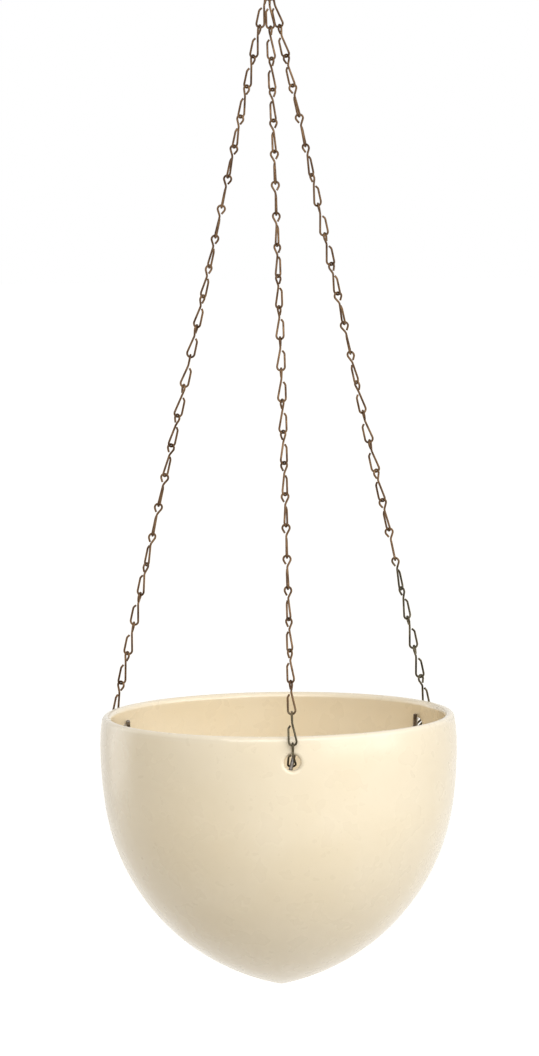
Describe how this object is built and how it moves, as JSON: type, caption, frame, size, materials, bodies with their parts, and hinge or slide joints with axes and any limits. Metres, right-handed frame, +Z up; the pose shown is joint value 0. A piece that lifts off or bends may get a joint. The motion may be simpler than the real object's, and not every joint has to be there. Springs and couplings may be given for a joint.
{
  "type": "hanging planter",
  "caption": "Bullet-shaped glazed bowl hung by long-link chains from a gather ring and an S-hook, with toggle pins behind its wall holes.",
  "frame": {"origin": "the hanging point, the inside top of the S-hook's upper bow", "axes": "+Z up, the front hole of the bowl faces -Y, +X to its right seen from the front"},
  "size_m": [0.2548, 0.2608, 0.7838],
  "materials": {
    "glaze": "gloss ivory glaze",
    "chain_wire": "aged antique brown",
    "hanger_wire": "aged antique brown",
    "pin_steel": "dull aged steel"
  },
  "bodies": {
    "hook": {"s_hook": "hanger_wire"},
    "ring": {"gather_ring": "hanger_wire"},
    "bowl": {"bowl": "glaze", "front_end_link": "chain_wire", "right_end_link": "chain_wire", "left_end_link": "chain_wire"},
    "front_links_01": {"front_chain_01": "chain_wire"},
    "front_links_02": {"front_chain_02": "chain_wire"},
    "front_links_03": {"front_chain_03": "chain_wire"},
    "front_links_04": {"front_chain_04": "chain_wire"},
    "front_links_05": {"front_chain_05": "chain_wire"},
    "front_links_06": {"front_chain_06": "chain_wire"},
    "front_links_07": {"front_chain_07": "chain_wire"},
    "front_links_08": {"front_chain_08": "chain_wire"},
    "front_links_09": {"front_chain_09": "chain_wire"},
    "front_links_10": {"front_chain_10": "chain_wire"},
    "front_links_11": {"front_chain_11": "chain_wire"},
    "front_links_12": {"front_chain_12": "chain_wire"},
    "right_links_01": {"right_chain_01": "chain_wire"},
    "right_links_02": {"right_chain_02": "chain_wire"},
    "right_links_03": {"right_chain_03": "chain_wire"},
    "right_links_04": {"right_chain_04": "chain_wire"},
    "right_links_05": {"right_chain_05": "chain_wire"},
    "right_links_06": {"right_chain_06": "chain_wire"},
    "right_links_07": {"right_chain_07": "chain_wire"},
    "right_links_08": {"right_chain_08": "chain_wire"},
    "right_links_09": {"right_chain_09": "chain_wire"},
    "right_links_10": {"right_chain_10": "chain_wire"},
    "right_links_11": {"right_chain_11": "chain_wire"},
    "right_links_12": {"right_chain_12": "chain_wire"},
    "left_links_01": {"left_chain_01": "chain_wire"},
    "left_links_02": {"left_chain_02": "chain_wire"},
    "left_links_03": {"left_chain_03": "chain_wire"},
    "left_links_04": {"left_chain_04": "chain_wire"},
    "left_links_05": {"left_chain_05": "chain_wire"},
    "left_links_06": {"left_chain_06": "chain_wire"},
    "left_links_07": {"left_chain_07": "chain_wire"},
    "left_links_08": {"left_chain_08": "chain_wire"},
    "left_links_09": {"left_chain_09": "chain_wire"},
    "left_links_10": {"left_chain_10": "chain_wire"},
    "left_links_11": {"left_chain_11": "chain_wire"},
    "left_links_12": {"left_chain_12": "chain_wire"},
    "front_pin": {"front_toggle_pin": "pin_steel"},
    "right_pin": {"right_toggle_pin": "pin_steel"},
    "left_pin": {"left_toggle_pin": "pin_steel"}
  },
  "joints": [
    {"name": "ring_swing", "type": "hinge", "parent": "hook", "child": "ring", "pos_m": [0, 0, -0.0504], "axis": [0, 1, 0], "range_deg": [-20, 20]},
    {"name": "planter_swing", "type": "hinge", "parent": "ring", "child": "bowl", "pos_m": [0, 0, -0.07315], "axis": [1, 0, 0], "range_deg": [-20, 20]},
    {"name": "front_links_01_turn", "type": "hinge", "parent": "bowl", "child": "front_links_01", "pos_m": [0, -0.06442, -0.33041], "axis": [0, -0.2429, -0.97], "range_deg": [-6, 6]},
    {"name": "front_links_02_turn", "type": "hinge", "parent": "bowl", "child": "front_links_02", "pos_m": [0, -0.06442, -0.33041], "axis": [0, -0.2429, -0.97], "range_deg": [-12, 12]},
    {"name": "front_links_03_turn", "type": "hinge", "parent": "bowl", "child": "front_links_03", "pos_m": [0, -0.06442, -0.33041], "axis": [0, -0.2429, -0.97], "range_deg": [-18, 18]},
    {"name": "front_links_04_turn", "type": "hinge", "parent": "bowl", "child": "front_links_04", "pos_m": [0, -0.06442, -0.33041], "axis": [0, -0.2429, -0.97], "range_deg": [-24, 24]},
    {"name": "front_links_05_turn", "type": "hinge", "parent": "bowl", "child": "front_links_05", "pos_m": [0, -0.06442, -0.33041], "axis": [0, -0.2429, -0.97], "range_deg": [-30, 30]},
    {"name": "front_chain_turn", "type": "hinge", "parent": "bowl", "child": "front_links_06", "pos_m": [0, -0.06442, -0.33041], "axis": [0, -0.2429, -0.97], "range_deg": [-36, 36]},
    {"name": "front_links_07_turn", "type": "hinge", "parent": "bowl", "child": "front_links_07", "pos_m": [0, -0.06442, -0.33041], "axis": [0, -0.2429, -0.97], "range_deg": [-36, 36]},
    {"name": "front_links_08_turn", "type": "hinge", "parent": "bowl", "child": "front_links_08", "pos_m": [0, -0.06442, -0.33041], "axis": [0, -0.2429, -0.97], "range_deg": [-30, 30]},
    {"name": "front_links_09_turn", "type": "hinge", "parent": "bowl", "child": "front_links_09", "pos_m": [0, -0.06442, -0.33041], "axis": [0, -0.2429, -0.97], "range_deg": [-24, 24]},
    {"name": "front_links_10_turn", "type": "hinge", "parent": "bowl", "child": "front_links_10", "pos_m": [0, -0.06442, -0.33041], "axis": [0, -0.2429, -0.97], "range_deg": [-18, 18]},
    {"name": "front_links_11_turn", "type": "hinge", "parent": "bowl", "child": "front_links_11", "pos_m": [0, -0.06442, -0.33041], "axis": [0, -0.2429, -0.97], "range_deg": [-12, 12]},
    {"name": "front_links_12_turn", "type": "hinge", "parent": "bowl", "child": "front_links_12", "pos_m": [0, -0.06442, -0.33041], "axis": [0, -0.2429, -0.97], "range_deg": [-6, 6]},
    {"name": "right_links_01_turn", "type": "hinge", "parent": "bowl", "child": "right_links_01", "pos_m": [0.05718, 0.03221, -0.33026], "axis": [0.2053, 0.1215, -0.9711], "range_deg": [-6, 6]},
    {"name": "right_links_02_turn", "type": "hinge", "parent": "bowl", "child": "right_links_02", "pos_m": [0.05718, 0.03221, -0.33026], "axis": [0.2053, 0.1215, -0.9711], "range_deg": [-12, 12]},
    {"name": "right_links_03_turn", "type": "hinge", "parent": "bowl", "child": "right_links_03", "pos_m": [0.05718, 0.03221, -0.33026], "axis": [0.2053, 0.1215, -0.9711], "range_deg": [-18, 18]},
    {"name": "right_links_04_turn", "type": "hinge", "parent": "bowl", "child": "right_links_04", "pos_m": [0.05718, 0.03221, -0.33026], "axis": [0.2053, 0.1215, -0.9711], "range_deg": [-24, 24]},
    {"name": "right_links_05_turn", "type": "hinge", "parent": "bowl", "child": "right_links_05", "pos_m": [0.05718, 0.03221, -0.33026], "axis": [0.2053, 0.1215, -0.9711], "range_deg": [-30, 30]},
    {"name": "right_chain_turn", "type": "hinge", "parent": "bowl", "child": "right_links_06", "pos_m": [0.05718, 0.03221, -0.33026], "axis": [0.2053, 0.1215, -0.9711], "range_deg": [-36, 36]},
    {"name": "right_links_07_turn", "type": "hinge", "parent": "bowl", "child": "right_links_07", "pos_m": [0.05718, 0.03221, -0.33026], "axis": [0.2053, 0.1215, -0.9711], "range_deg": [-36, 36]},
    {"name": "right_links_08_turn", "type": "hinge", "parent": "bowl", "child": "right_links_08", "pos_m": [0.05718, 0.03221, -0.33026], "axis": [0.2053, 0.1215, -0.9711], "range_deg": [-30, 30]},
    {"name": "right_links_09_turn", "type": "hinge", "parent": "bowl", "child": "right_links_09", "pos_m": [0.05718, 0.03221, -0.33026], "axis": [0.2053, 0.1215, -0.9711], "range_deg": [-24, 24]},
    {"name": "right_links_10_turn", "type": "hinge", "parent": "bowl", "child": "right_links_10", "pos_m": [0.05718, 0.03221, -0.33026], "axis": [0.2053, 0.1215, -0.9711], "range_deg": [-18, 18]},
    {"name": "right_links_11_turn", "type": "hinge", "parent": "bowl", "child": "right_links_11", "pos_m": [0.05718, 0.03221, -0.33026], "axis": [0.2053, 0.1215, -0.9711], "range_deg": [-12, 12]},
    {"name": "right_links_12_turn", "type": "hinge", "parent": "bowl", "child": "right_links_12", "pos_m": [0.05718, 0.03221, -0.33026], "axis": [0.2053, 0.1215, -0.9711], "range_deg": [-6, 6]},
    {"name": "left_links_01_turn", "type": "hinge", "parent": "bowl", "child": "left_links_01", "pos_m": [-0.05718, 0.03221, -0.33026], "axis": [-0.2053, 0.1215, -0.9711], "range_deg": [-6, 6]},
    {"name": "left_links_02_turn", "type": "hinge", "parent": "bowl", "child": "left_links_02", "pos_m": [-0.05718, 0.03221, -0.33026], "axis": [-0.2053, 0.1215, -0.9711], "range_deg": [-12, 12]},
    {"name": "left_links_03_turn", "type": "hinge", "parent": "bowl", "child": "left_links_03", "pos_m": [-0.05718, 0.03221, -0.33026], "axis": [-0.2053, 0.1215, -0.9711], "range_deg": [-18, 18]},
    {"name": "left_links_04_turn", "type": "hinge", "parent": "bowl", "child": "left_links_04", "pos_m": [-0.05718, 0.03221, -0.33026], "axis": [-0.2053, 0.1215, -0.9711], "range_deg": [-24, 24]},
    {"name": "left_links_05_turn", "type": "hinge", "parent": "bowl", "child": "left_links_05", "pos_m": [-0.05718, 0.03221, -0.33026], "axis": [-0.2053, 0.1215, -0.9711], "range_deg": [-30, 30]},
    {"name": "left_chain_turn", "type": "hinge", "parent": "bowl", "child": "left_links_06", "pos_m": [-0.05718, 0.03221, -0.33026], "axis": [-0.2053, 0.1215, -0.9711], "range_deg": [-36, 36]},
    {"name": "left_links_07_turn", "type": "hinge", "parent": "bowl", "child": "left_links_07", "pos_m": [-0.05718, 0.03221, -0.33026], "axis": [-0.2053, 0.1215, -0.9711], "range_deg": [-36, 36]},
    {"name": "left_links_08_turn", "type": "hinge", "parent": "bowl", "child": "left_links_08", "pos_m": [-0.05718, 0.03221, -0.33026], "axis": [-0.2053, 0.1215, -0.9711], "range_deg": [-30, 30]},
    {"name": "left_links_09_turn", "type": "hinge", "parent": "bowl", "child": "left_links_09", "pos_m": [-0.05718, 0.03221, -0.33026], "axis": [-0.2053, 0.1215, -0.9711], "range_deg": [-24, 24]},
    {"name": "left_links_10_turn", "type": "hinge", "parent": "bowl", "child": "left_links_10", "pos_m": [-0.05718, 0.03221, -0.33026], "axis": [-0.2053, 0.1215, -0.9711], "range_deg": [-18, 18]},
    {"name": "left_links_11_turn", "type": "hinge", "parent": "bowl", "child": "left_links_11", "pos_m": [-0.05718, 0.03221, -0.33026], "axis": [-0.2053, 0.1215, -0.9711], "range_deg": [-12, 12]},
    {"name": "left_links_12_turn", "type": "hinge", "parent": "bowl", "child": "left_links_12", "pos_m": [-0.05718, 0.03221, -0.33026], "axis": [-0.2053, 0.1215, -0.9711], "range_deg": [-6, 6]},
    {"name": "front_pin_turn", "type": "hinge", "parent": "bowl", "child": "front_pin", "pos_m": [0, -0.11915, -0.60627], "axis": [0, -1, 0], "range_deg": [-4, 32]},
    {"name": "right_pin_turn", "type": "hinge", "parent": "bowl", "child": "right_pin", "pos_m": [0.10318, 0.05957, -0.60627], "axis": [0.866, 0.5, 0], "range_deg": [-24, 12]},
    {"name": "left_pin_turn", "type": "hinge", "parent": "bowl", "child": "left_pin", "pos_m": [-0.10318, 0.05957, -0.60627], "axis": [-0.866, 0.5, 0], "range_deg": [-9, 27]}
  ],
  "couplings": [
    {"joint": "front_links_01_turn", "follows": "front_chain_turn", "ratio": 0.16667},
    {"joint": "front_links_02_turn", "follows": "front_chain_turn", "ratio": 0.33333},
    {"joint": "front_links_03_turn", "follows": "front_chain_turn", "ratio": 0.5},
    {"joint": "front_links_04_turn", "follows": "front_chain_turn", "ratio": 0.66667},
    {"joint": "front_links_05_turn", "follows": "front_chain_turn", "ratio": 0.83333},
    {"joint": "front_links_07_turn", "follows": "front_chain_turn", "ratio": 1},
    {"joint": "front_links_08_turn", "follows": "front_chain_turn", "ratio": 0.83333},
    {"joint": "front_links_09_turn", "follows": "front_chain_turn", "ratio": 0.66667},
    {"joint": "front_links_10_turn", "follows": "front_chain_turn", "ratio": 0.5},
    {"joint": "front_links_11_turn", "follows": "front_chain_turn", "ratio": 0.33333},
    {"joint": "front_links_12_turn", "follows": "front_chain_turn", "ratio": 0.16667},
    {"joint": "right_links_01_turn", "follows": "right_chain_turn", "ratio": 0.16667},
    {"joint": "right_links_02_turn", "follows": "right_chain_turn", "ratio": 0.33333},
    {"joint": "right_links_03_turn", "follows": "right_chain_turn", "ratio": 0.5},
    {"joint": "right_links_04_turn", "follows": "right_chain_turn", "ratio": 0.66667},
    {"joint": "right_links_05_turn", "follows": "right_chain_turn", "ratio": 0.83333},
    {"joint": "right_links_07_turn", "follows": "right_chain_turn", "ratio": 1},
    {"joint": "right_links_08_turn", "follows": "right_chain_turn", "ratio": 0.83333},
    {"joint": "right_links_09_turn", "follows": "right_chain_turn", "ratio": 0.66667},
    {"joint": "right_links_10_turn", "follows": "right_chain_turn", "ratio": 0.5},
    {"joint": "right_links_11_turn", "follows": "right_chain_turn", "ratio": 0.33333},
    {"joint": "right_links_12_turn", "follows": "right_chain_turn", "ratio": 0.16667},
    {"joint": "left_links_01_turn", "follows": "left_chain_turn", "ratio": 0.16667},
    {"joint": "left_links_02_turn", "follows": "left_chain_turn", "ratio": 0.33333},
    {"joint": "left_links_03_turn", "follows": "left_chain_turn", "ratio": 0.5},
    {"joint": "left_links_04_turn", "follows": "left_chain_turn", "ratio": 0.66667},
    {"joint": "left_links_05_turn", "follows": "left_chain_turn", "ratio": 0.83333},
    {"joint": "left_links_07_turn", "follows": "left_chain_turn", "ratio": 1},
    {"joint": "left_links_08_turn", "follows": "left_chain_turn", "ratio": 0.83333},
    {"joint": "left_links_09_turn", "follows": "left_chain_turn", "ratio": 0.66667},
    {"joint": "left_links_10_turn", "follows": "left_chain_turn", "ratio": 0.5},
    {"joint": "left_links_11_turn", "follows": "left_chain_turn", "ratio": 0.33333},
    {"joint": "left_links_12_turn", "follows": "left_chain_turn", "ratio": 0.16667}
  ]
}
